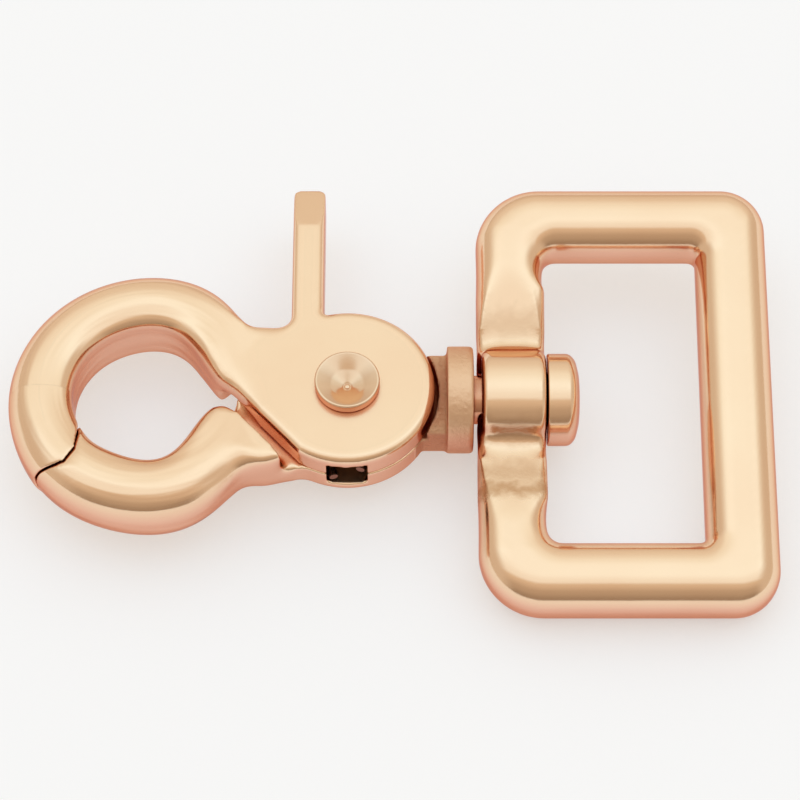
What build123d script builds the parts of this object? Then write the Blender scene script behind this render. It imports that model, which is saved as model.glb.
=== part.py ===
from build123d import *
from math import atan2, cos, degrees, radians, sin, sqrt
import os

os.makedirs("parts", exist_ok=True)

# Scissor snap hook, millimetres. The two jaws open about Z, at the origin. The swivel turns about X.
# +Y is the thumb lever's side, +Z is the front, and z = 0 is the plane where the jaws slide on each other.

# --- Ring: the eye that the two jaws close into -------------------------------------------------
ring_centre = (-16.3, -0.4)
ring_radius = 8.7          # to the middle of the tube
tube_inner = 2.5           # from the middle of the tube to its wall in the eye
tube_outer = 2.8
tube_height = 3.25         # half of the ring's thickness
wall_height = 1.7          # half height of the flat wall in the eye
crown_width = 0.4          # flat left on the tube's crown

# --- Cheeks: the two round plates that the rivet holds face to face ------------------------------
cheek_radius = 7.15
cheek_height = 2.5         # from the sliding plane to the outer face
rim_fillet = 0.7
arm_angle = 50             # where each jaw leaves the ring's circle for its cheek
arm_direction = 62
arm_height = 3.1
lever_arm_width = 5.25
fixed_arm_width = 5.6
lever_arm_rounds = (1.7, 1.9, 0.9, 1.7)
fixed_arm_rounds = (1.7, 1.9, 0.5, 2.9)
lever_inset = 0.6          # how far the arm's inner side stands inside the circle there
fixed_inset = 0.9
shoulder = 0.03            # of the ring's last section over the cheek's plate
sliding_gap = 0.1          # between the two cheeks
turning_gap = 0.3          # round a cheek, inside the other casting's pocket
groove_width = 1.3         # between a cheek's straight edge and the other jaw

# --- Jaw tips -------------------------------------------------------------------------------------
tip_angle = 236            # where the fixed jaw's round nose has its centre, about the ring
tip_gap = 0.12

# --- Thumb lever ----------------------------------------------------------------------------------
lever_width = 2.65
lever_middle = -3.35
lever_reach = 19.8
lever_corner = 0.6
lever_slope_start = 15.6   # where the thumb rest starts to slope back
lever_slope = 15           # degrees
root_fillet = 1.1

# --- Pivot rivet and spring -----------------------------------------------------------------------
rivet_radius = 1.9
rivet_head_radius = 2.65
rivet_head_height = 1.1
rivet_dish = 1.3           # depth of the dish below the head's rim
rivet_bow = 0.1            # the dish bows this far below a straight cone
rivet_rim = 0.35           # width of the rim round the dish
rivet_rim_round = 0.15
rivet_dimple_radius = 0.33
rivet_tail_radius = 2.9
rivet_tail_height = 0.45
rivet_clearance = 0.03
wire_radius = 0.35
coil_radius = 2.75         # to the middle of the wire
coil_pitch = 0.78
leg_reach = 6.85           # how far the legs reach from the pivot
pocket_radius = 3.5
leg_side = 1.08            # and how far each leg's end stands from the slot's middle
pocket_depth = 1.4
slot_width = 2.9

# --- Neck, collar and swivel ----------------------------------------------------------------------
neck_width = 7.5
neck_front = 1.4
neck_end = 8.15
neck_round = 0.8
collar_radius = 4.4
collar_length = 2.15
collar_chamfer = 0.2
pin_radius = 2.0
pin_depth = 1.95           # pressed into the collar
button_radius = 3.8
button_length = 2.7
button_dome = 0.7
swivel_clearance = 0.1

# --- Square loop ----------------------------------------------------------------------------------
strap_width = 25.4
strap_slot = 12.8
bar_width = 5.9
bar_round = 2.65           # edge rounds that leave the bars nearly round
boss_length = 5.3
boss_radius = 4.15
boss_proud = 0.1           # of the near bar, beside the button
bar_gap = 0.3              # from the collar to the near bar
boss_edge = 0.7
web_height = 1.0           # the near bar is pressed thin beside the barrel
web_start = 3.9            # and rises from here, inside the barrel,
web_end = 11.2             # to the round bar's full height here
web_taper = 9.4            # from here its square sides narrow into the round bar
web_root = 0.6
loop_gap = 0.65            # from the collar to the barrel
loop_lean = 8              # the free loop lies with one side lower than the other
outer_corner_near = 5.3
outer_corner_far = 3.7
slot_corner_near = 1.2
slot_corner_far = 0.5


def section_plane(point, angle):
    """Upright plane across a jaw, its X axis pointing outwards from a point on the wall of the eye."""
    return Plane(
        origin=(point[0], point[1], 0),
        x_dir=(cos(radians(angle)), sin(radians(angle)), 0),
        z_dir=(sin(radians(angle)), -cos(radians(angle)), 0),
    )


def ring_point(radius, angle):
    """Point at this distance and angle from the ring's own centre."""
    return (
        ring_centre[0] + radius * cos(radians(angle)),
        ring_centre[1] + radius * sin(radians(angle)),
    )


def jaw_section(plane, width, height, inner_wall, inner_round, outer_wall, outer_round):
    """Section of a jaw: two upright walls, a flat crown front and back, and elliptic rounds between."""
    with BuildSketch(plane) as section:
        with BuildLine():
            Line((0, 0), (0, inner_wall))
            EllipticalCenterArc((inner_round, inner_wall), inner_round, height - inner_wall, 90, arc_size=90)
            Line((inner_round, height), (width - outer_round, height))
            outer_centre = (width - outer_round, outer_wall)
            EllipticalCenterArc(outer_centre, outer_round, height - outer_wall, 0, arc_size=90)
            Line((width, outer_wall), (width, 0))
            mirror(about=Plane.XZ)
        make_face()
    return section.sketch


def ring_section(angle):
    """The tube's section at this angle about the ring."""
    return jaw_section(
        section_plane(ring_point(ring_radius - tube_inner, angle), angle),
        tube_inner + tube_outer,
        tube_height,
        wall_height,
        tube_inner - crown_width / 2,
        crown_width / 2,
        tube_outer - crown_width / 2,
    )


def tail_section(inner, outer):
    """Last section of a jaw, on the end of its cheek's plate and a fine shoulder larger all round."""
    across = (outer[0] - inner[0], outer[1] - inner[1])
    width = sqrt(across[0] ** 2 + across[1] ** 2)
    corner = (inner[0] - shoulder * across[0] / width, inner[1] - shoulder * across[1] / width)
    return jaw_section(
        section_plane(corner, degrees(atan2(across[1], across[0]))),
        width + 2 * shoulder,
        cheek_height + shoulder,
        cheek_height - rim_fillet,
        rim_fillet,
        cheek_height - rim_fillet,
        rim_fillet,
    )


def cheek_edge(side):
    """Ends of the straight edge that a cheek has beside the other jaw: at the eye's point and on the rim."""
    return (-8.84, -0.66 * side), (-3.9, -6.0 * side)


def turning_pocket(side):
    """Plan of the room that the other cheek needs to turn in, with the groove along its straight edge."""
    start, end = cheek_edge(side)
    length = sqrt((end[0] - start[0]) ** 2 + (end[1] - start[1]) ** 2)
    along = ((end[0] - start[0]) / length, (end[1] - start[1]) / length)
    across = (along[1] * side * groove_width, -along[0] * side * groove_width)
    reach = cheek_radius
    with BuildSketch() as pocket:
        Circle(cheek_radius + turning_gap)
        with BuildLine():
            Polyline(
                (start[0] + across[0] - along[0] * reach, start[1] + across[1] - along[1] * reach),
                (end[0] + across[0], end[1] + across[1]),
                (0, end[1] + across[1]),
                (0, reach * side),
                (start[0] + across[0] - along[0] * reach, reach * side),
                close=True,
            )
        make_face()
    return pocket.sketch


# The round nose at the fixed jaw's tip, and the hollow over it in the lever jaw: both turn about a
# line across the tube, so the lever jaw lifts off the nose without catching.
def nose_plane():
    """Plane across the tube at the nose's centre, its normal pointing outwards from the ring."""
    middle = ring_point(ring_radius, tip_angle)
    return Plane(
        origin=(middle[0], middle[1], 0),
        x_dir=(0, 0, 1),
        z_dir=(cos(radians(tip_angle)), sin(radians(tip_angle)), 0),
    )


# --- Room for the spring, cut into both cheeks: a round pocket narrowing to the slot --------------
with BuildSketch() as spring_room:
    Circle(pocket_radius)
    with Locations((0, -cheek_radius)):
        Rectangle(slot_width, rim_fillet)
    make_hull()

# --- Lever jaw: upper jaw, front cheek and thumb lever, one casting -------------------------------
lever_tail_inner = (-9.7, 0.27)
lever_tail_outer = (-6.95, 6.03)
lever_left = lever_middle - lever_width / 2
lever_right = lever_middle + lever_width / 2
lever_root = (lever_right, sqrt(cheek_radius**2 - lever_right**2))
saddle = (lever_left, 5.55)

with BuildPart() as lever_jaw:
    edge_start, edge_end = cheek_edge(1)
    with BuildSketch() as lever_plate:
        with BuildLine():
            Polyline(saddle, lever_tail_outer, lever_tail_inner, edge_start, edge_end)
            ThreePointArc(edge_end, (cheek_radius, 0), lever_root)
            Polyline(lever_root, (lever_right, lever_reach), (lever_left, lever_reach), saddle)
        make_face()
        corners = lever_plate.vertices()
        fillet(corners.sort_by_distance(saddle)[0], root_fillet)
        fillet(lever_plate.vertices().sort_by_distance(lever_root)[0], rim_fillet / 2)
        fillet(lever_plate.vertices().group_by(Axis.Y)[-1], lever_corner)
    extrude(amount=cheek_height, both=True)
    tail_middle = (
        (lever_tail_inner[0] + lever_tail_outer[0]) / 2,
        (lever_tail_inner[1] + lever_tail_outer[1]) / 2,
    )
    rim = lever_jaw.faces().filter_by(Axis.Z).edges()
    rim = rim.filter_by(lambda e: abs(e.center().X - tail_middle[0]) > 0.05)
    fillet(rim, rim_fillet)

    lever_sections = [ring_section(angle) for angle in range(230, 79, -25)]
    shoulder_point = ring_point(ring_radius - tube_inner - lever_inset, arm_angle)
    arm_plane = section_plane(shoulder_point, arm_direction)
    lever_sections.append(jaw_section(arm_plane, lever_arm_width, arm_height, *lever_arm_rounds))
    lever_sections.append(tail_section(lever_tail_inner, lever_tail_outer))
    loft(lever_sections)

    # room for the rear cheek, and the hollow over the fixed jaw's nose
    with BuildSketch(Plane.XY.offset(sliding_gap / 2)) as rear_room:
        add(turning_pocket(-1))
    extrude(amount=-2 * tube_height, mode=Mode.SUBTRACT)
    with Locations(Location(nose_plane())):
        Cylinder(tube_height + tip_gap, 4 * tube_outer, mode=Mode.SUBTRACT)

    # pivot bore, spring pocket and the slot for the spring's leg
    Cylinder(rivet_radius + rivet_clearance, 4 * cheek_height, mode=Mode.SUBTRACT)
    extrude(spring_room.sketch, amount=pocket_depth, both=True, mode=Mode.SUBTRACT)

    # thumb rest: the lever's front slopes back towards its tip
    with Locations(
        Location((lever_middle, lever_slope_start, cheek_height), (-lever_slope, 0, 0))
    ):
        Box(
            2 * lever_width,
            lever_reach,
            cheek_height,
            align=(Align.CENTER, Align.MIN, Align.MIN),
            mode=Mode.SUBTRACT,
        )

# --- Fixed jaw: lower jaw, rear cheek, neck and swivel collar, one casting ------------------------
fixed_tail_inner = (-9.7, -1.45)
fixed_tail_outer = (-6.75, -7.25)
throat = (-3.575, -6.19)
collar_end = neck_end + collar_length

with BuildPart(nose_plane()) as nose_room:
    Box(
        4 * tube_height,
        3 * tube_height,
        4 * tube_outer,
        align=(Align.CENTER, Align.MIN, Align.CENTER),
    )
    Cylinder(tube_height, 4 * tube_outer, mode=Mode.SUBTRACT)

with BuildPart() as fixed_jaw:
    edge_start, edge_end = cheek_edge(-1)
    with BuildSketch() as fixed_plate:
        with BuildLine():
            Polyline(throat, fixed_tail_outer, fixed_tail_inner, edge_start, edge_end)
            ThreePointArc(edge_end, (cheek_radius, 0), throat)
        make_face()
        fillet(fixed_plate.vertices().sort_by_distance(throat)[0], 2 * root_fillet)
    extrude(amount=cheek_height, both=True)
    tail_middle = (
        (fixed_tail_inner[0] + fixed_tail_outer[0]) / 2,
        (fixed_tail_inner[1] + fixed_tail_outer[1]) / 2,
    )
    rim = fixed_jaw.faces().filter_by(Axis.Z).edges()
    rim = rim.filter_by(lambda e: abs(e.center().X - tail_middle[0]) > 0.05)
    fillet(rim, rim_fillet)

    fixed_sections = [ring_section(angle) for angle in range(210, 286, 25)]
    shoulder_point = ring_point(ring_radius - tube_inner - fixed_inset, -arm_angle)
    arm_plane = section_plane(shoulder_point, -arm_direction)
    fixed_sections.append(jaw_section(arm_plane, fixed_arm_width, arm_height, *fixed_arm_rounds))
    fixed_sections.append(tail_section(fixed_tail_inner, fixed_tail_outer))
    loft(fixed_sections)
    add(nose_room.part, mode=Mode.SUBTRACT)

    # neck, then the room for the front cheek, then the round collar
    with BuildSketch(Plane.YZ) as neck_section:
        with Locations((0, (neck_front - cheek_height) / 2)):
            RectangleRounded(neck_width, neck_front + cheek_height, neck_round)
    extrude(amount=neck_end)
    with BuildSketch(Plane.XY.offset(-sliding_gap / 2)) as front_room:
        add(turning_pocket(1))
    extrude(amount=2 * tube_height, mode=Mode.SUBTRACT)
    with BuildSketch(Plane.YZ.offset(neck_end)) as collar_section:
        Circle(collar_radius)
    extrude(amount=collar_length)
    chamfer(fixed_jaw.edges().filter_by(GeomType.CIRCLE).group_by(Axis.X)[-1], collar_chamfer)

    # bores for the pivot rivet, the spring and the swivel pin
    Cylinder(rivet_radius + rivet_clearance, 4 * cheek_height, mode=Mode.SUBTRACT)
    extrude(spring_room.sketch, amount=pocket_depth, both=True, mode=Mode.SUBTRACT)
    with BuildSketch(Plane.YZ.offset(collar_end - pin_depth)) as pin_bore:
        Circle(pin_radius)
    extrude(amount=2 * pin_depth, mode=Mode.SUBTRACT)

# --- Pivot rivet: turned steel, its front head dished by the setting tool -------------------------
with BuildPart() as pivot_rivet:
    with BuildSketch(Plane.XZ):
        with BuildLine():
            head_seat = cheek_height + rivet_clearance
            head_top = head_seat + rivet_head_height
            dish_edge = (rivet_dimple_radius, head_top - rivet_dish)
            rim_edge = (rivet_head_radius - rivet_rim, head_top)
            SagittaArc(dish_edge, rim_edge, -rivet_bow)
            Polyline(
                rim_edge,
                (rivet_head_radius, head_top),
                (rivet_head_radius, head_seat),
                (rivet_radius, head_seat),
                (rivet_radius, -cheek_height),
                (rivet_tail_radius, -cheek_height),
                (rivet_tail_radius - rivet_tail_height, -cheek_height - rivet_tail_height),
                (0, -cheek_height - rivet_tail_height),
                (0, head_top - rivet_dish - rivet_dimple_radius / 2),
                dish_edge,
            )
        rivet_face = make_face()
        fillet(rivet_face.vertices().group_by(Axis.Y)[-1], rivet_rim_round)
    revolve(axis=Axis.Z)

# --- Torsion spring: a coil and a half of wire, its legs in the slot ------------------------------
leg_span = sqrt(leg_reach**2 + leg_side**2)
leg_length = sqrt(leg_span**2 - coil_radius**2)
leg_angle = degrees(atan2(leg_side, leg_reach)) + degrees(atan2(leg_length, coil_radius)) - 90
coil_turns = 1.5 - 2 * leg_angle / 360
coil_height = coil_turns * coil_pitch

with BuildPart() as untwisted_spring:
    with BuildLine(Plane.XY.offset(-coil_height / 2)) as coil_path:
        Helix(coil_pitch, coil_height, coil_radius, lefthand=True)
    with BuildSketch(Plane(coil_path.line @ 0, z_dir=coil_path.line % 0)):
        RegularPolygon(wire_radius, 8)
    sweep(path=coil_path.line, is_frenet=True)
    extrude(untwisted_spring.faces().sort_by(SortBy.AREA)[:2], amount=leg_length)

# --- Swivel pin: button head inside the loop, shank pressed into the collar -----------------------
boss_start = collar_end + loop_gap
boss_end = boss_start + boss_length

with BuildPart() as swivel_pin:
    with BuildSketch(Plane.XY):
        with BuildLine():
            button_start = boss_end + swivel_clearance
            button_rim = button_start + button_length - button_dome
            Polyline(
                (button_rim + button_dome, 0),
                (collar_end - pin_depth, 0),
                (collar_end - pin_depth, pin_radius),
                (button_start, pin_radius),
                (button_start, button_radius),
                (button_rim, button_radius),
            )
            EllipticalCenterArc((button_rim, 0), button_dome, button_radius, arc_size=90)
        make_face()
    revolve(axis=Axis.X)

# --- Square loop: one casting, round bars and a bored boss ----------------------------------------
slot_start = boss_end - boss_proud
slot_end = slot_start + strap_slot
bar_start = collar_end + bar_gap

with BuildPart() as boss:
    with BuildSketch(Plane.YZ.offset(boss_start)) as boss_profile:
        Circle(boss_radius)
        with BuildLine():
            Polyline(
                (-web_end, 0),
                (-web_end, bar_round),
                (-web_start, web_height),
                (web_start, web_height),
                (web_end, bar_round),
                (web_end, 0),
            )
            mirror(about=Plane.XZ)
        make_face()
        roots = boss_profile.vertices().filter_by(lambda v: abs(v.X) < boss_radius)
        fillet(roots, web_root)
    extrude(amount=boss_length)
    ends = boss.edges().group_by(Axis.X)
    fillet(ends[0] + ends[-1], boss_edge)
    with BuildSketch():
        with BuildLine():
            Polyline(
                (boss_start, 0),
                (boss_start, web_taper),
                (boss_start + bar_round / 2, web_end),
                (slot_start - bar_round / 2, web_end),
                (boss_end, web_taper),
                (boss_end, 0),
            )
            mirror(about=Plane.XZ)
        make_face()
    extrude(amount=boss_radius, both=True, mode=Mode.INTERSECT)

with BuildPart() as upright_loop:
    with BuildSketch():
        with BuildLine():
            Polyline(
                (bar_start, 0),
                (bar_start, strap_width / 2 + bar_width),
                (slot_end + bar_width, strap_width / 2 + bar_width),
                (slot_end + bar_width, -strap_width / 2 - bar_width),
                (bar_start, -strap_width / 2 - bar_width),
                (bar_start, 0),
            )
        make_face()
        with Locations(((slot_start + slot_end) / 2, 0)):
            Rectangle(strap_slot, strap_width, mode=Mode.SUBTRACT)
    extrude(amount=bar_width / 2, both=True)
    fillet(upright_loop.edges().filter_by(Axis.Z).group_by(Axis.X)[0], outer_corner_near)
    fillet(upright_loop.edges().filter_by(Axis.Z).group_by(Axis.X)[-1], outer_corner_far)
    slot_edges = upright_loop.edges().filter_by(Axis.Z).filter_by_position(
        Axis.X, slot_start - 0.01, slot_start + 0.01
    ).filter_by_position(Axis.Y, -strap_width / 2 - 0.01, strap_width / 2 + 0.01)
    fillet(slot_edges, slot_corner_near)
    slot_edges = upright_loop.edges().filter_by(Axis.Z).filter_by_position(
        Axis.X, slot_end - 0.01, slot_end + 0.01
    ).filter_by_position(Axis.Y, -strap_width / 2 - 0.01, strap_width / 2 + 0.01)
    fillet(slot_edges, slot_corner_far)
    fillet(upright_loop.faces().filter_by(Axis.Z).edges(), bar_round)

    # the near bar, thinned beside its barrel, which is bored for the swivel pin
    with BuildSketch(Plane.YZ.offset(bar_start)):
        with BuildLine():
            Polyline(
                (-web_end, bar_width / 2),
                (-web_start, web_height),
                (web_start, web_height),
                (web_end, bar_width / 2),
                close=True,
            )
        make_face()
        mirror(about=Plane.XZ)
    extrude(amount=boss_end - bar_start, mode=Mode.SUBTRACT)
    add(boss.part)
    with BuildSketch(Plane.YZ.offset(bar_start)):
        Circle(pin_radius + swivel_clearance)
    extrude(amount=boss_end - bar_start, mode=Mode.SUBTRACT)

lever_jaw.part.label = "lever_jaw"
fixed_jaw.part.label = "fixed_jaw"
pivot_rivet.part.label = "pivot_rivet"
torsion_spring = untwisted_spring.part.rotate(Axis.Z, 180 - leg_angle)
torsion_spring.label = "torsion_spring"
swivel_pin.part.label = "swivel_pin"
square_loop = upright_loop.part.rotate(Axis.X, loop_lean)
square_loop.label = "square_loop"

export_step(lever_jaw.part, "parts/lever_jaw.step")
export_step(fixed_jaw.part, "parts/fixed_jaw.step")
export_step(pivot_rivet.part, "parts/pivot_rivet.step")
export_step(torsion_spring, "parts/torsion_spring.step")
export_step(swivel_pin.part, "parts/swivel_pin.step")
export_step(square_loop, "parts/square_loop.step")
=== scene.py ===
import math

import bmesh
import bpy
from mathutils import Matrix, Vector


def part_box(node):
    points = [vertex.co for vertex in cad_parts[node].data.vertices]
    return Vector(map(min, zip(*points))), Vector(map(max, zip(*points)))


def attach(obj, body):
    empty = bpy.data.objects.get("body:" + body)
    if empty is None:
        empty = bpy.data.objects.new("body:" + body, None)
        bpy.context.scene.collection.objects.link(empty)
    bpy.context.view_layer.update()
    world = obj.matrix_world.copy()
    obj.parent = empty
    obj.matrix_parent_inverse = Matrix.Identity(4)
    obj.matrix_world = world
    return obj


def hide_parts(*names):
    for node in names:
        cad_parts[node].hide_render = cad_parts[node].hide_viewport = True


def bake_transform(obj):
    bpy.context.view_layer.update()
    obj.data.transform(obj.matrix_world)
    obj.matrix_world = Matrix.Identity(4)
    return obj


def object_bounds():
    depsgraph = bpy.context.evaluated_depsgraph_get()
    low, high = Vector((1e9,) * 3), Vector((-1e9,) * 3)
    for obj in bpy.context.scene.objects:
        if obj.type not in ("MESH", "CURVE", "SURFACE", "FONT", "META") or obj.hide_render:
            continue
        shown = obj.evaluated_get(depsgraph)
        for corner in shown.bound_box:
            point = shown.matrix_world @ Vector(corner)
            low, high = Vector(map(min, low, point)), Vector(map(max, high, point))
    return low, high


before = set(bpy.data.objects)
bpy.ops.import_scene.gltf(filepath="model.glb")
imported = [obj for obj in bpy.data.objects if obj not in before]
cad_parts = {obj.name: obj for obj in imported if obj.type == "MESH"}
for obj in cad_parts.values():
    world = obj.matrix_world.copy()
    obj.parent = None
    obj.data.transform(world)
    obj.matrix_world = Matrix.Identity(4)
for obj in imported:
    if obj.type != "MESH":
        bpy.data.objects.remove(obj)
cad_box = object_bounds()


# --- Fixed jaw: lower jaw, rear cheek, neck and swivel collar ----------------------------------------
# One zinc die casting that carries everything else. It is tumbled and polished until its edges are
# soft, then plated rose gold; the short neck behind the cheek can't be polished and keeps its cast skin.

wear_strokes = 250


def keep_largest_skin(mesh):
    """Sweep away the specks that broke off a casting's thinnest lips, so that one skin stays."""
    swept = bmesh.new()
    swept.from_mesh(mesh)
    unseen = set(swept.verts)
    skins = []
    while unseen:
        frontier = [unseen.pop()]
        skin = list(frontier)
        while frontier:
            for edge in frontier.pop().link_edges:
                for vertex in edge.verts:
                    if vertex in unseen:
                        unseen.remove(vertex)
                        skin.append(vertex)
                        frontier.append(vertex)
        skins.append(skin)
    skins.sort(key=len)
    for speck in skins[:-1]:
        bmesh.ops.delete(swept, geom=speck, context="VERTS")
    swept.to_mesh(mesh)
    swept.free()


def polished_casting(node, voxel, strokes, worn_spots=()):
    """The node's shape as one closed skin, its edges rounded and its seams drawn out by polishing.

    Each worn spot is a round region that was polished for longer: its middle, its half sizes and how
    hard it was polished, from 0 to 1.
    """
    skin = bmesh.new()
    skin.from_mesh(bpy.data.objects[node].data)
    bmesh.ops.remove_doubles(skin, verts=skin.verts, dist=0.000001)
    rough_mesh = bpy.data.meshes.new(node + "_rough")
    skin.to_mesh(rough_mesh)
    skin.free()
    rough = bpy.data.objects.new(node + "_rough", rough_mesh)
    bpy.context.collection.objects.link(rough)
    remesh = rough.modifiers.new("even skin", "REMESH")
    remesh.mode = "VOXEL"
    remesh.voxel_size = voxel
    remesh.adaptivity = 0.0
    bpy.context.view_layer.update()
    even = bpy.data.meshes.new_from_object(rough.evaluated_get(bpy.context.evaluated_depsgraph_get()))
    bpy.data.objects.remove(rough)
    keep_largest_skin(even)

    piece = bpy.data.objects.new(node + "_casting", even)
    bpy.context.collection.objects.link(piece)
    worn = piece.vertex_groups.new(name="worn")
    for vertex in even.vertices:
        weight = 0.0
        for middle, half, hardness in worn_spots:
            away = math.sqrt(sum(((p - m) / h) ** 2 for p, m, h in zip(vertex.co, middle, half)))
            weight = max(weight, hardness * min(1.0, 2.0 * (1.0 - away)))
        if weight > 0.0:
            worn.add([vertex.index], weight, "REPLACE")
    polish = piece.modifiers.new("polish", "SMOOTH")
    polish.factor = 0.5
    polish.iterations = strokes
    if worn_spots:
        wear = piece.modifiers.new("wear", "SMOOTH")
        wear.vertex_group = "worn"
        wear.factor = 0.5
        wear.iterations = wear_strokes
    bpy.context.view_layer.update()
    finished = bpy.data.meshes.new_from_object(piece.evaluated_get(bpy.context.evaluated_depsgraph_get()))
    piece.modifiers.clear()
    piece.vertex_groups.clear()
    piece.data = finished
    bpy.data.meshes.remove(even)
    finished.name = node + "_casting"
    for face in finished.polygons:
        face.use_smooth = True
    return piece


def rose_gold(name, colour, roughness, ring_lines=False):
    """Bright rose gold plate over polished metal, with painted shade on upright walls and in crevices; with
    ring_lines, polishing lines run round the eye.
    """
    material = bpy.data.materials.new(name)
    material.use_nodes = True
    nodes = material.node_tree.nodes
    links = material.node_tree.links
    nodes.clear()
    output = nodes.new("ShaderNodeOutputMaterial")
    shader = nodes.new("ShaderNodeBsdfPrincipled")
    shader.inputs["Metallic"].default_value = 1.0
    shader.inputs["Specular Tint"].default_value = (0.78, 0.47, 0.40, 1)
    links.new(shader.outputs["BSDF"], output.inputs["Surface"])
    place = nodes.new("ShaderNodeTexCoord")

    # the plate's tint drifts a little over the metal
    drift = nodes.new("ShaderNodeTexNoise")
    drift.inputs["Scale"].default_value = 110.0
    drift.inputs["Detail"].default_value = 3.0
    links.new(place.outputs["Object"], drift.inputs["Vector"])
    tint = nodes.new("ShaderNodeValToRGB")
    tint.color_ramp.elements[0].position = 0.35
    tint.color_ramp.elements[0].color = (*[c * k for c, k in zip(colour, (0.985, 0.96, 0.95))], 1)
    tint.color_ramp.elements[1].position = 0.65
    tint.color_ramp.elements[1].color = (*colour, 1)
    links.new(drift.outputs["Fac"], tint.inputs["Fac"])

    # painted reflection and shade: upright walls are tinted pinker and darker, and the crevices are painted
    # dark red
    facing = nodes.new("ShaderNodeSeparateXYZ")
    links.new(place.outputs["Normal"], facing.inputs["Vector"])
    upward = nodes.new("ShaderNodeMath")
    upward.operation = "ABSOLUTE"
    links.new(facing.outputs["Z"], upward.inputs[0])
    wall = nodes.new("ShaderNodeMapRange")
    wall.interpolation_type = "SMOOTHSTEP"
    wall.inputs["From Min"].default_value = 0.62
    wall.inputs["From Max"].default_value = 0.08
    links.new(upward.outputs["Value"], wall.inputs["Value"])
    # painted shade and reflection: the colour of upright walls is multiplied pinker and darker
    painted_wall_shade = nodes.new("ShaderNodeMix")
    painted_wall_shade.data_type = "RGBA"
    painted_wall_shade.blend_type = "MULTIPLY"
    painted_wall_shade.inputs["B"].default_value = (0.92, 0.72, 0.76, 1)
    links.new(wall.outputs["Result"], painted_wall_shade.inputs["Factor"])
    links.new(tint.outputs["Color"], painted_wall_shade.inputs["A"])
    # painted shade: where the occlusion node finds the metal closed in, the colour is multiplied towards dark
    # red
    openness = nodes.new("ShaderNodeAmbientOcclusion")
    openness.samples = 6
    openness.inputs["Distance"].default_value = 0.0016
    painted_crevice_shade = nodes.new("ShaderNodeMapRange")
    painted_crevice_shade.interpolation_type = "SMOOTHSTEP"
    painted_crevice_shade.inputs["From Min"].default_value = 0.52
    painted_crevice_shade.inputs["From Max"].default_value = 0.12
    links.new(openness.outputs["AO"], painted_crevice_shade.inputs["Value"])
    red = nodes.new("ShaderNodeMix")
    red.data_type = "RGBA"
    red.blend_type = "MULTIPLY"
    red.inputs["B"].default_value = (0.62, 0.26, 0.17, 1)
    links.new(painted_crevice_shade.outputs["Result"], red.inputs["Factor"])
    links.new(painted_wall_shade.outputs["Result"], red.inputs["A"])
    links.new(red.outputs["Result"], shader.inputs["Base Color"])

    # a very fine grain; the flat faces are lapped, so they are softer than the rounded ones
    grain = nodes.new("ShaderNodeTexNoise")
    grain.inputs["Scale"].default_value = 5200.0
    grain.inputs["Detail"].default_value = 4.0
    links.new(place.outputs["Object"], grain.inputs["Vector"])
    gloss = nodes.new("ShaderNodeMapRange")
    gloss.inputs["To Min"].default_value = roughness * 0.8
    gloss.inputs["To Max"].default_value = roughness * 1.25
    links.new(grain.outputs["Fac"], gloss.inputs["Value"])
    flat = nodes.new("ShaderNodeMapRange")
    flat.interpolation_type = "SMOOTHSTEP"
    flat.inputs["From Min"].default_value = 0.94
    flat.inputs["From Max"].default_value = 0.995
    links.new(upward.outputs["Value"], flat.inputs["Value"])
    lapped = nodes.new("ShaderNodeMapRange")
    lapped.inputs["To Max"].default_value = 0.27
    links.new(flat.outputs["Result"], lapped.inputs["Value"])
    links.new(gloss.outputs["Result"], lapped.inputs["To Min"])
    links.new(lapped.outputs["Result"], shader.inputs["Roughness"])

    # polishing leaves soft waves, and lines along the jaws where they are tubes
    waves = nodes.new("ShaderNodeTexNoise")
    waves.inputs["Scale"].default_value = 420.0
    waves.inputs["Detail"].default_value = 2.0
    links.new(place.outputs["Object"], waves.inputs["Vector"])
    wave_bump = nodes.new("ShaderNodeBump")
    wave_bump.inputs["Strength"].default_value = 0.3
    wave_bump.inputs["Distance"].default_value = 0.00004
    links.new(waves.outputs["Fac"], wave_bump.inputs["Height"])
    smooth = wave_bump.outputs["Normal"]
    if ring_lines:
        from_centre = nodes.new("ShaderNodeVectorMath")
        from_centre.operation = "SUBTRACT"
        from_centre.inputs[1].default_value = (-0.0163, -0.0004, 0.0)
        links.new(place.outputs["Object"], from_centre.inputs[0])
        apart = nodes.new("ShaderNodeSeparateXYZ")
        links.new(from_centre.outputs["Vector"], apart.inputs["Vector"])
        level_with = nodes.new("ShaderNodeCombineXYZ")
        links.new(apart.outputs["X"], level_with.inputs["X"])
        links.new(apart.outputs["Y"], level_with.inputs["Y"])
        radius = nodes.new("ShaderNodeVectorMath")
        radius.operation = "LENGTH"
        links.new(level_with.outputs["Vector"], radius.inputs[0])
        turn = nodes.new("ShaderNodeMath")
        turn.operation = "ARCTAN2"
        links.new(apart.outputs["Y"], turn.inputs[0])
        links.new(apart.outputs["X"], turn.inputs[1])
        slow_turn = nodes.new("ShaderNodeMath")
        slow_turn.operation = "MULTIPLY"
        slow_turn.inputs[1].default_value = 0.0007
        links.new(turn.outputs["Value"], slow_turn.inputs[0])
        along = nodes.new("ShaderNodeCombineXYZ")
        links.new(radius.outputs["Value"], along.inputs["X"])
        links.new(slow_turn.outputs["Value"], along.inputs["Y"])
        links.new(apart.outputs["Z"], along.inputs["Z"])
        lines = nodes.new("ShaderNodeTexNoise")
        lines.inputs["Scale"].default_value = 760.0
        lines.inputs["Detail"].default_value = 1.5
        links.new(along.outputs["Vector"], lines.inputs["Vector"])
        on_ring = nodes.new("ShaderNodeMapRange")
        on_ring.interpolation_type = "SMOOTHSTEP"
        on_ring.inputs["From Min"].default_value = 0.0095
        on_ring.inputs["From Max"].default_value = 0.0045
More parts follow.
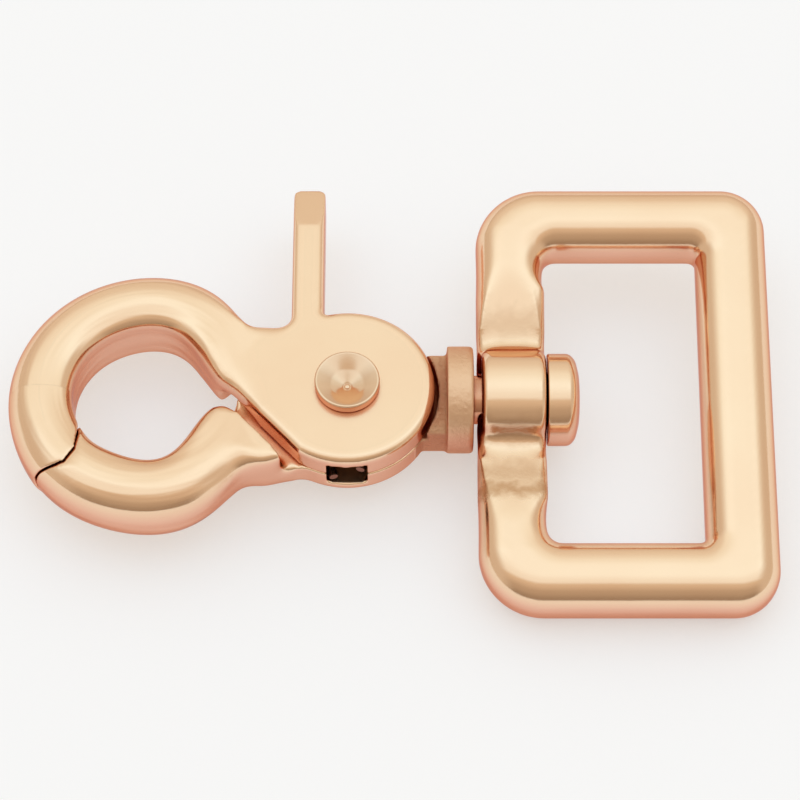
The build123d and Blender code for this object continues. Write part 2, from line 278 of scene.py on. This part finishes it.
        links.new(apart.outputs["X"], on_ring.inputs["Value"])
        line_height = nodes.new("ShaderNodeMath")
        line_height.operation = "MULTIPLY"
        links.new(lines.outputs["Fac"], line_height.inputs[0])
        links.new(on_ring.outputs["Result"], line_height.inputs[1])
        line_bump = nodes.new("ShaderNodeBump")
        line_bump.inputs["Strength"].default_value = 0.8
        line_bump.inputs["Distance"].default_value = 0.00024
        links.new(smooth, line_bump.inputs["Normal"])
        links.new(line_height.outputs["Value"], line_bump.inputs["Height"])
        smooth = line_bump.outputs["Normal"]
    grain_bump = nodes.new("ShaderNodeBump")
    grain_bump.inputs["Strength"].default_value = 0.07
    grain_bump.inputs["Distance"].default_value = 0.00001
    links.new(smooth, grain_bump.inputs["Normal"])
    links.new(grain.outputs["Fac"], grain_bump.inputs["Height"])
    links.new(grain_bump.outputs["Normal"], shader.inputs["Normal"])
    return material


def cast_skin(material, low, high, depth, stain):
    """Between two corners of a box the plate keeps the casting's own skin: duller, grainy and stained."""
    nodes = material.node_tree.nodes
    links = material.node_tree.links
    shader = nodes["Principled BSDF"]
    place = nodes["Texture Coordinate"]
    middle = [(a + b) / 2 for a, b in zip(low, high)]
    half = [(b - a) / 2 for a, b in zip(low, high)]
    centred = nodes.new("ShaderNodeVectorMath")
    centred.operation = "SUBTRACT"
    centred.inputs[1].default_value = middle
    links.new(place.outputs["Object"], centred.inputs[0])
    folded = nodes.new("ShaderNodeVectorMath")
    folded.operation = "ABSOLUTE"
    links.new(centred.outputs["Vector"], folded.inputs[0])
    split = nodes.new("ShaderNodeSeparateXYZ")
    links.new(folded.outputs["Vector"], split.inputs["Vector"])
    inside = None
    for axis, reach in zip("XYZ", half):
        step = nodes.new("ShaderNodeMapRange")
        step.interpolation_type = "SMOOTHSTEP"
        step.inputs["From Min"].default_value = reach + 0.00015
        step.inputs["From Max"].default_value = reach - 0.00015
        links.new(split.outputs[axis], step.inputs["Value"])
        if inside is None:
            inside = step.outputs["Result"]
        else:
            both = nodes.new("ShaderNodeMath")
            both.operation = "MULTIPLY"
            links.new(inside, both.inputs[0])
            links.new(step.outputs["Result"], both.inputs[1])
            inside = both.outputs["Value"]
    skin = nodes.new("ShaderNodeTexNoise")
    skin.inputs["Scale"].default_value = 2300.0
    skin.inputs["Detail"].default_value = 6.0
    skin.inputs["Roughness"].default_value = 0.65
    links.new(place.outputs["Object"], skin.inputs["Vector"])
    skin_height = nodes.new("ShaderNodeMath")
    skin_height.operation = "MULTIPLY"
    links.new(skin.outputs["Fac"], skin_height.inputs[0])
    links.new(inside, skin_height.inputs[1])
    skin_bump = nodes.new("ShaderNodeBump")
    skin_bump.inputs["Strength"].default_value = 0.9
    skin_bump.inputs["Distance"].default_value = depth
    smooth_normal = shader.inputs["Normal"].links[0].from_socket
    links.new(smooth_normal, skin_bump.inputs["Normal"])
    links.new(skin_height.outputs["Value"], skin_bump.inputs["Height"])
    links.new(skin_bump.outputs["Normal"], shader.inputs["Normal"])
    dull = nodes.new("ShaderNodeMapRange")
    dull.inputs["To Max"].default_value = 0.42
    bright = shader.inputs["Roughness"].links[0].from_socket
    links.new(inside, dull.inputs["Value"])
    links.new(bright, dull.inputs["To Min"])
    links.new(dull.outputs["Result"], shader.inputs["Roughness"])
    clean = shader.inputs["Base Color"].links[0].from_socket
    stain_and_shade = nodes.new("ShaderNodeMix")
    stain_and_shade.data_type = "RGBA"
    stain_and_shade.blend_type = "MULTIPLY"
    stain_and_shade.inputs["B"].default_value = (*stain, 1)
    links.new(inside, stain_and_shade.inputs["Factor"])
    links.new(clean, stain_and_shade.inputs["A"])
    links.new(stain_and_shade.outputs["Result"], shader.inputs["Base Color"])


plate_colour = (0.93, 0.69, 0.47)
casting_gloss = 0.17
neck_low = (0.0055, -0.0045, -0.0030)
neck_high = (0.00815, 0.0045, 0.0020)
collar_low = (0.0080, -0.0050, -0.0050)
collar_high = (0.0104, 0.0050, 0.0050)

casting_skin = 0.00013
casting_strokes = 5
fixed_wear = (
    ((-0.0097, -0.0015, 0.0), (0.0016, 0.0016, 0.0040), 1.0),
    ((-0.0068, -0.0072, 0.0), (0.0030, 0.0022, 0.0040), 1.0),
)
fixed_casting = polished_casting("fixed_jaw", casting_skin, casting_strokes, fixed_wear)
fixed_plate = rose_gold("plated casting with cast neck", plate_colour, casting_gloss, ring_lines=True)
cast_skin(fixed_plate, neck_low, neck_high, 0.00035, (0.84, 0.72, 0.64))
cast_skin(fixed_plate, collar_low, collar_high, 0.00009, (0.90, 0.82, 0.77))
fixed_casting.data.materials.append(fixed_plate)
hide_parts("fixed_jaw")
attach(fixed_casting, "hook")


# --- Lever jaw ---------------------------------------------------------------------------------------
# The upper jaw, front cheek and thumb lever are a second zinc casting, polished and plated like the
# first. It turns on the rivet, face to face with the rear cheek.

lever_wear = (
    ((-0.0100, 0.0004, 0.0), (0.0046, 0.0036, 0.0080), 1.0),
    ((-0.0068, 0.0059, 0.0), (0.0026, 0.0020, 0.0040), 1.0),
    ((-0.0220, -0.0062, 0.0), (0.0040, 0.0040, 0.0060), 0.2),
)
lever_casting = polished_casting("lever_jaw", casting_skin, casting_strokes, lever_wear)
lever_casting.data.materials.append(rose_gold("plated casting", plate_colour, casting_gloss, ring_lines=True))
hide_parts("lever_jaw")
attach(lever_casting, "lever")


# --- Pivot rivet -------------------------------------------------------------------------------------
# A turned steel rivet, plated after it is turned. The setting tool leaves a deep cone in its front
# head with a dimple in the middle, and spreads its tail behind the rear cheek.

def turned_piece(name, profile, axis, segments=160):
    """A piece turned on a lathe: its profile is pairs of a place along the axis and a radius."""
    turned = bmesh.new()
    rings = []
    for along, radius in profile:
        if radius == 0.0:
            spots = [(along, 0.0, 0.0)]
        else:
            angles = [2 * math.pi * step / segments for step in range(segments)]
            spots = [(along, radius * math.cos(angle), radius * math.sin(angle)) for angle in angles]
        if axis == "Z":
            spots = [(y, z, x) for x, y, z in spots]
        rings.append([turned.verts.new(spot) for spot in spots])
    for before, after in zip(rings, rings[1:]):
        for step in range(segments):
            ahead = (step + 1) % segments
            corners = [before[step % len(before)], before[ahead % len(before)]]
            corners += [after[ahead % len(after)], after[step % len(after)]]
            turned.faces.new(list(dict.fromkeys(corners)))
    bmesh.ops.remove_doubles(turned, verts=turned.verts, dist=0.0000001)
    bmesh.ops.recalc_face_normals(turned, faces=turned.faces)
    mesh = bpy.data.meshes.new(name)
    turned.to_mesh(mesh)
    turned.free()
    for face in mesh.polygons:
        face.use_smooth = True
    piece = bpy.data.objects.new(name, mesh)
    bpy.context.collection.objects.link(piece)
    return piece


def softened(profile, radius, steps=4):
    """The same profile with each inner corner rounded off, as a file and the wheel leave it."""
    rounded = [profile[0]]
    for before, corner, after in zip(profile, profile[1:], profile[2:]):
        back = math.dist(corner, before)
        ahead = math.dist(corner, after)
        reach = min(radius, 0.45 * back, 0.45 * ahead)
        start = [c + (p - c) * reach / back for c, p in zip(corner, before)]
        end = [c + (p - c) * reach / ahead for c, p in zip(corner, after)]
        for step in range(steps + 1):
            share = step / steps
            rounded.append(tuple(
                (1 - share) ** 2 * s + 2 * share * (1 - share) * c + share ** 2 * e
                for s, c, e in zip(start, corner, end)
            ))
    rounded.append(profile[-1])
    return rounded


rivet_low, rivet_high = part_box("pivot_rivet")
rivet_head = rivet_high[2] - 0.0002
rivet_radius = 0.00265
shank_radius = 0.0019
tail_radius = 0.0029
cheek_front = 0.0025
head_seat = 0.00253
dish_floor = rivet_head - 0.0013
rivet_profile = [
    (rivet_low[2], 0.0),
    (rivet_low[2], 0.00245),
    (rivet_low[2] + 0.00045, tail_radius),
    (-cheek_front, tail_radius),
    (-cheek_front, shank_radius),
    (head_seat, shank_radius),
    (head_seat, rivet_radius),
    (rivet_head - 0.0001, rivet_radius),
    (rivet_head, rivet_radius - 0.00015),
    (dish_floor + 0.00057, 0.00135),
    (dish_floor + 0.00006, 0.00040),
    (dish_floor - 0.00004, 0.00028),
    (dish_floor + 0.00012, 0.00020),
    (dish_floor + 0.00014, 0.0),
]
rivet = turned_piece("turned_rivet", softened(rivet_profile, 0.00012), "Z")
rivet.data.materials.append(rose_gold("plated rivet", (0.86, 0.65, 0.45), 0.13))
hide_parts("pivot_rivet")
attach(rivet, "hook")


# --- Torsion spring ----------------------------------------------------------------------------------
# One turn and a half of hard-drawn spring wire round the rivet, in the pocket between the cheeks. Its
# two straight legs lie in the slot below, one against each casting, and close the jaws.

wire_radius = 0.00035
coil_radius = 0.00275
coil_pitch = 0.00078
leg_reach = 0.00685
leg_side = 0.00108
leg_span = math.hypot(leg_reach, leg_side)
leg_length = math.sqrt(leg_span**2 - coil_radius**2)
leg_angle = math.atan2(leg_side, leg_reach) + math.atan2(leg_length, coil_radius) - math.pi / 2
coil_turns = 1.5 - leg_angle / math.pi
coil_height = coil_turns * coil_pitch

winding = bpy.data.node_groups.new("spring winding", "GeometryNodeTree")
for socket_name, kind in (
    ("Coil radius", "NodeSocketFloat"),
    ("Wire radius", "NodeSocketFloat"),
    ("Turns", "NodeSocketFloat"),
    ("Height", "NodeSocketFloat"),
    ("Leg length", "NodeSocketFloat"),
    ("Start angle", "NodeSocketFloat"),
    ("Wire", "NodeSocketMaterial"),
):
    winding.interface.new_socket(socket_name, in_out="INPUT", socket_type=kind)
winding.interface.new_socket("Geometry", in_out="OUTPUT", socket_type="NodeSocketGeometry")
wound = winding.nodes
wound_links = winding.links
sizes = wound.new("NodeGroupInput")
made = wound.new("NodeGroupOutput")


def reckon(operation, first, second):
    """A Math node over two sockets or numbers; returns its output."""
    node = wound.new("ShaderNodeMath")
    node.operation = operation
    for socket, value in zip(node.inputs, (first, second)):
        if isinstance(value, (int, float)):
            socket.default_value = value
        else:
            wound_links.new(value, socket)
    return node.outputs["Value"]


# the first and the last points of the line run on straight as legs; the points between go round
leg_points = 12
coil_points = 240
line = wound.new("GeometryNodeMeshLine")
line.inputs["Count"].default_value = coil_points + 2 * leg_points + 1
index = wound.new("GeometryNodeInputIndex").outputs["Index"]
step = reckon("SUBTRACT", index, leg_points)
before = reckon("DIVIDE", reckon("MAXIMUM", reckon("MULTIPLY", step, -1.0), 0.0), leg_points)
after = reckon("DIVIDE", reckon("MAXIMUM", reckon("SUBTRACT", step, coil_points), 0.0), leg_points)
share = reckon("DIVIDE", reckon("MINIMUM", reckon("MAXIMUM", step, 0.0), coil_points), coil_points)
sweep = reckon("MULTIPLY", reckon("MULTIPLY", share, sizes.outputs["Turns"]), -2 * math.pi)
angle = reckon("ADD", sweep, sizes.outputs["Start angle"])
cosine = reckon("COSINE", angle, 0.0)
sine = reckon("SINE", angle, 0.0)
straight = reckon("MULTIPLY", reckon("SUBTRACT", after, before), sizes.outputs["Leg length"])
across = reckon("MULTIPLY", cosine, sizes.outputs["Coil radius"])
upright = reckon("MULTIPLY", sine, sizes.outputs["Coil radius"])
wire_x = reckon("ADD", across, reckon("MULTIPLY", sine, straight))
wire_y = reckon("SUBTRACT", upright, reckon("MULTIPLY", cosine, straight))
wire_z = reckon("MULTIPLY", reckon("SUBTRACT", share, 0.5), sizes.outputs["Height"])
spot = wound.new("ShaderNodeCombineXYZ")
wound_links.new(wire_x, spot.inputs["X"])
wound_links.new(wire_y, spot.inputs["Y"])
wound_links.new(wire_z, spot.inputs["Z"])
bend = wound.new("GeometryNodeSetPosition")
wound_links.new(line.outputs["Mesh"], bend.inputs["Geometry"])
wound_links.new(spot.outputs["Vector"], bend.inputs["Position"])
path = wound.new("GeometryNodeMeshToCurve")
wound_links.new(bend.outputs["Geometry"], path.inputs["Mesh"])
section = wound.new("GeometryNodeCurvePrimitiveCircle")
section.inputs["Resolution"].default_value = 20
wound_links.new(sizes.outputs["Wire radius"], section.inputs["Radius"])
drawn = wound.new("GeometryNodeCurveToMesh")
drawn.inputs["Fill Caps"].default_value = True
wound_links.new(path.outputs["Curve"], drawn.inputs["Curve"])
wound_links.new(section.outputs["Curve"], drawn.inputs["Profile Curve"])
real = wound.new("GeometryNodeRealizeInstances")
wound_links.new(drawn.outputs["Mesh"], real.inputs["Geometry"])
coat = wound.new("GeometryNodeSetMaterial")
wound_links.new(real.outputs["Geometry"], coat.inputs["Geometry"])
wound_links.new(sizes.outputs["Wire"], coat.inputs["Material"])
wound_links.new(coat.outputs["Geometry"], made.inputs["Geometry"])

spring = bpy.data.objects.new("wound_spring", bpy.data.meshes.new("wound_spring"))
bpy.context.collection.objects.link(spring)
winder = spring.modifiers.new("winding", "NODES")
winder.node_group = winding
spring_sizes = {
    "Coil radius": coil_radius,
    "Wire radius": wire_radius,
    "Turns": coil_turns,
    "Height": coil_height,
    "Leg length": leg_length,
    "Start angle": math.pi - leg_angle,
    "Wire": rose_gold("spring wire", (0.30, 0.20, 0.15), 0.32),
}
for socket in winding.interface.items_tree:
    if socket.name in spring_sizes:
        winder[socket.identifier] = spring_sizes[socket.name]
bpy.context.view_layer.update()
wire_mesh = bpy.data.meshes.new_from_object(spring.evaluated_get(bpy.context.evaluated_depsgraph_get()))
spring.modifiers.clear()
spring.data = wire_mesh
for face in wire_mesh.polygons:
    face.use_smooth = len(face.vertices) == 4
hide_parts("torsion_spring")
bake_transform(spring)


# --- Swivel pin --------------------------------------------------------------------------------------
# A turned pin with a domed button inside the loop; its shank runs through the loop's barrel and is
# pressed into the collar. It is plated with the hook and stays there when the loop turns.

pin_low, pin_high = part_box("swivel_pin")
pin_radius = 0.0020
button_radius = 0.0038
button_start = pin_high[0] - 0.0027
pin_profile = [
    (pin_low[0], 0.0),
    (pin_low[0], pin_radius),
    (button_start, pin_radius),
    (button_start, button_radius - 0.0001),
    (button_start + 0.0001, button_radius),
    (button_start + 0.0018, button_radius),
    (button_start + 0.0023, button_radius - 0.0005),
    (button_start + 0.0026, button_radius - 0.0016),
    (pin_high[0], 0.0),
]
pin = turned_piece("turned_pin", softened(pin_profile, 0.00035, 6), "X")
pin.data.materials.append(rose_gold("plated pin", plate_colour, 0.15))
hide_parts("swivel_pin")
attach(pin, "hook")


# --- Square loop -------------------------------------------------------------------------------------
# A third casting: round bars on three sides for a one inch strap, and a flat-fronted near bar with a
# barrel bored for the pin. The flanks of the barrel are hard to reach and stay a little duller, and bands
# across the near bar are darkened with painted shade.

def dull_shaded_flanks(material, lean, bar_end, bands):
    """Across the near bar the wheel misses some bands: grainy and duller, with painted shade darkening their
    plate, fading at their edges.

    The bands lie across the loop's own length; each is its middle, its half width and its strength.
    """
    nodes = material.node_tree.nodes
    links = material.node_tree.links
    shader = nodes["Principled BSDF"]
    place = nodes["Texture Coordinate"]
    level_loop = nodes.new("ShaderNodeVectorRotate")
    level_loop.rotation_type = "X_AXIS"
    level_loop.inputs["Angle"].default_value = -lean
    links.new(place.outputs["Object"], level_loop.inputs["Vector"])
    split = nodes.new("ShaderNodeSeparateXYZ")
    links.new(level_loop.outputs["Vector"], split.inputs["Vector"])
    ragged = nodes.new("ShaderNodeTexNoise")
    ragged.inputs["Scale"].default_value = 900.0
    ragged.inputs["Detail"].default_value = 5.0
    links.new(place.outputs["Object"], ragged.inputs["Vector"])
    shift = nodes.new("ShaderNodeMapRange")
    shift.inputs["To Min"].default_value = -0.0011
    shift.inputs["To Max"].default_value = 0.0011
    links.new(ragged.outputs["Fac"], shift.inputs["Value"])
    wandering = nodes.new("ShaderNodeMath")
    wandering.operation = "ADD"
    links.new(split.outputs["Y"], wandering.inputs[0])
    links.new(shift.outputs["Result"], wandering.inputs[1])
    on_near_bar = nodes.new("ShaderNodeMapRange")
    on_near_bar.interpolation_type = "SMOOTHSTEP"
    on_near_bar.inputs["From Min"].default_value = bar_end
    on_near_bar.inputs["From Max"].default_value = bar_end - 0.0015
    links.new(split.outputs["X"], on_near_bar.inputs["Value"])
    dullness_and_shade = None
    for middle, half, strength in bands:
        away = nodes.new("ShaderNodeMath")
        away.operation = "SUBTRACT"
        away.inputs[1].default_value = middle
        links.new(wandering.outputs["Value"], away.inputs[0])
        distance = nodes.new("ShaderNodeMath")
        distance.operation = "ABSOLUTE"
        links.new(away.outputs["Value"], distance.inputs[0])
        band = nodes.new("ShaderNodeMapRange")
        band.interpolation_type = "SMOOTHSTEP"
        band.inputs["From Min"].default_value = half
        band.inputs["From Max"].default_value = 0.0
        band.inputs["To Max"].default_value = strength
        links.new(distance.outputs["Value"], band.inputs["Value"])
        if dullness_and_shade is None:
            dullness_and_shade = band.outputs["Result"]
        else:
            most = nodes.new("ShaderNodeMath")
            most.operation = "MAXIMUM"
            links.new(dullness_and_shade, most.inputs[0])
            links.new(band.outputs["Result"], most.inputs[1])
            dullness_and_shade = most.outputs["Value"]
    here = nodes.new("ShaderNodeMath")
    here.operation = "MULTIPLY"
    links.new(dullness_and_shade, here.inputs[0])
    links.new(on_near_bar.outputs["Result"], here.inputs[1])
    dullness_and_shade = here.outputs["Value"]
    pits = nodes.new("ShaderNodeTexNoise")
    pits.inputs["Scale"].default_value = 3600.0
    pits.inputs["Detail"].default_value = 4.0
    links.new(place.outputs["Object"], pits.inputs["Vector"])
    pit_height = nodes.new("ShaderNodeMath")
    pit_height.operation = "MULTIPLY"
    links.new(pits.outputs["Fac"], pit_height.inputs[0])
    links.new(dullness_and_shade, pit_height.inputs[1])
    pit_bump = nodes.new("ShaderNodeBump")
    pit_bump.inputs["Strength"].default_value = 0.6
    pit_bump.inputs["Distance"].default_value = 0.00008
    links.new(shader.inputs["Normal"].links[0].from_socket, pit_bump.inputs["Normal"])
    links.new(pit_height.outputs["Value"], pit_bump.inputs["Height"])
    links.new(pit_bump.outputs["Normal"], shader.inputs["Normal"])
    dull = nodes.new("ShaderNodeMapRange")
    dull.inputs["To Max"].default_value = 0.34
    bright = shader.inputs["Roughness"].links[0].from_socket
    links.new(dullness_and_shade, dull.inputs["Value"])
    links.new(bright, dull.inputs["To Min"])
    links.new(dull.outputs["Result"], shader.inputs["Roughness"])
    clean = shader.inputs["Base Color"].links[0].from_socket
    # painted shade: the bands' plate colour is multiplied darker here
    stain_and_shade = nodes.new("ShaderNodeMix")
    stain_and_shade.data_type = "RGBA"
    stain_and_shade.blend_type = "MULTIPLY"
    stain_and_shade.inputs["B"].default_value = (0.66, 0.53, 0.42, 1)
    links.new(dullness_and_shade, stain_and_shade.inputs["Factor"])
    links.new(clean, stain_and_shade.inputs["A"])
    links.new(stain_and_shade.outputs["Result"], shader.inputs["Base Color"])


loop_skin = 0.00016
loop_strokes = 9
loop_gloss = 0.14
loop_lean = math.radians(8)
near_bar_end = 0.0172
# bands of grainy, duller plate that also carry painted shade: middle, half width, strength
flank_bands = (
    (-0.0036, 0.0015, 0.3),
    (-0.0071, 0.0016, 0.5),
    (-0.0086, 0.0012, 0.9),
    (0.0060, 0.0022, 0.4),
)
loop_wear = (
    ((0.0134, 0.0112, 0.0016), (0.0042, 0.0034, 0.0060), 1.0),
    ((0.0134, -0.0112, -0.0016), (0.0042, 0.0034, 0.0060), 1.0),
    ((0.0134, 0.0043, 0.0006), (0.0036, 0.0022, 0.0036), 1.0),
    ((0.0134, -0.0043, -0.0006), (0.0036, 0.0022, 0.0036), 1.0),
)
loop_casting = polished_casting("square_loop", loop_skin, loop_strokes, loop_wear)
loop_plate = rose_gold("plated loop", plate_colour, loop_gloss)
dull_shaded_flanks(loop_plate, loop_lean, near_bar_end, flank_bands)
loop_casting.data.materials.append(loop_plate)
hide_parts("square_loop")
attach(loop_casting, "loop")


# --- Floor, light and camera -------------------------------------------------------------------------
# A white card under the hook, a studio that is bright overhead and warmer and dimmer towards the
# horizon, and a long lens looking down from the front.

floor_mesh = bpy.data.meshes.new("floor")
floor_reach = 1.5
floor_height = cad_box[0][2]
floor_mesh.from_pydata(
    [
        (-floor_reach, -floor_reach, floor_height),
        (floor_reach, -floor_reach, floor_height),
        (floor_reach, floor_reach, floor_height),
        (-floor_reach, floor_reach, floor_height),
    ],
    [],
    [(0, 1, 2, 3)],
)
floor = bpy.data.objects.new("floor", floor_mesh)
bpy.context.collection.objects.link(floor)
card = bpy.data.materials.new("white card")
card.use_nodes = True
card_nodes = card.node_tree.nodes
card_links = card.node_tree.links
card_shader = card_nodes["Principled BSDF"]
card_shader.inputs["Base Color"].default_value = (0.60, 0.61, 0.63, 1)
card_shader.inputs["Roughness"].default_value = 0.9
card_shader.inputs["Specular IOR Level"].default_value = 0.0
card_shader.inputs["Emission Color"].default_value = (1, 1, 1, 1)
ray = card_nodes.new("ShaderNodeLightPath")
seen = ray.outputs["Is Camera Ray"]
for other in ("Is Glossy Ray", "Is Transmission Ray"):
    either = card_nodes.new("ShaderNodeMath")
    either.operation = "MAXIMUM"
    card_links.new(seen, either.inputs[0])
    card_links.new(ray.outputs[other], either.inputs[1])
    seen = either.outputs["Value"]
whiter = card_nodes.new("ShaderNodeMath")
whiter.operation = "MULTIPLY"
whiter.inputs[1].default_value = 0.42
card_links.new(seen, whiter.inputs[0])
card_links.new(whiter.outputs["Value"], card_shader.inputs["Emission Strength"])
floor_mesh.materials.append(card)

# the room's light by direction: round the X axis from the near horizon over the top to the far one,
# and plainer towards either side
room = bpy.data.worlds.new("soft studio")
bpy.context.scene.world = room
room.use_nodes = True
room_nodes = room.node_tree.nodes
room_links = room.node_tree.links
room_nodes.clear()
room_output = room_nodes.new("ShaderNodeOutputWorld")
background = room_nodes.new("ShaderNodeBackground")
direction = room_nodes.new("ShaderNodeTexCoord")
split = room_nodes.new("ShaderNodeSeparateXYZ")
towards_near = room_nodes.new("ShaderNodeMath")
towards_near.operation = "MULTIPLY"
towards_near.inputs[1].default_value = -1.0
turn = room_nodes.new("ShaderNodeMath")
turn.operation = "ARCTAN2"
share = room_nodes.new("ShaderNodeMath")
share.operation = "DIVIDE"
share.inputs[1].default_value = math.pi
over = room_nodes.new("ShaderNodeValToRGB")
over.color_ramp.interpolation = "EASE"
stops = (
    (0.0, (0.34, 0.26, 0.20)),
    (0.17, (0.52, 0.41, 0.32)),
    (0.32, (0.74, 0.61, 0.49)),
    (0.37, (0.98, 0.99, 0.98)),
    (0.56, (1.10, 1.22, 1.28)),
    (0.67, (1.00, 1.04, 1.01)),
    (0.84, (0.84, 0.77, 0.68)),
    (1.0, (0.70, 0.60, 0.52)),
)
while len(over.color_ramp.elements) < len(stops):
    over.color_ramp.elements.new(0.5)
for element, (position, colour) in zip(over.color_ramp.elements, stops):
    element.position = position
    element.color = (*colour, 1)
sideways = room_nodes.new("ShaderNodeMath")
sideways.operation = "ABSOLUTE"
fade = room_nodes.new("ShaderNodeMapRange")
fade.interpolation_type = "SMOOTHSTEP"
fade.inputs["From Min"].default_value = 0.6
fade.inputs["From Max"].default_value = 0.92
both_ways = room_nodes.new("ShaderNodeMix")
both_ways.data_type = "RGBA"
both_ways.inputs["B"].default_value = (0.70, 0.60, 0.51, 1)
room_links.new(direction.outputs["Generated"], split.inputs["Vector"])
room_links.new(split.outputs["Y"], towards_near.inputs[0])
room_links.new(split.outputs["Z"], turn.inputs[0])
room_links.new(towards_near.outputs["Value"], turn.inputs[1])
room_links.new(turn.outputs["Value"], share.inputs[0])
room_links.new(share.outputs["Value"], over.inputs["Fac"])
room_links.new(split.outputs["X"], sideways.inputs[0])
room_links.new(sideways.outputs["Value"], fade.inputs["Value"])
room_links.new(fade.outputs["Result"], both_ways.inputs["Factor"])
room_links.new(over.outputs["Color"], both_ways.inputs["A"])
room_links.new(both_ways.outputs["Result"], background.inputs["Color"])
room_links.new(background.outputs["Background"], room_output.inputs["Surface"])

camera_data = bpy.data.cameras.new("camera")
camera_data.sensor_width = 36.0
camera_data.lens = 135.0
camera = bpy.data.objects.new("camera", camera_data)
bpy.context.collection.objects.link(camera)
looking_down = math.radians(60)
aim = (0.0043, 0.0, 0.0)
distance = 0.2466
camera.location = (
    aim[0],
    aim[1] - distance * math.cos(looking_down),
    aim[2] + distance * math.sin(looking_down),
)
camera.rotation_euler = (math.radians(90) - looking_down, 0.0, 0.0)
camera_data.clip_start = 0.01
bpy.context.scene.camera = camera
bpy.context.scene.view_settings.view_transform = "Standard"
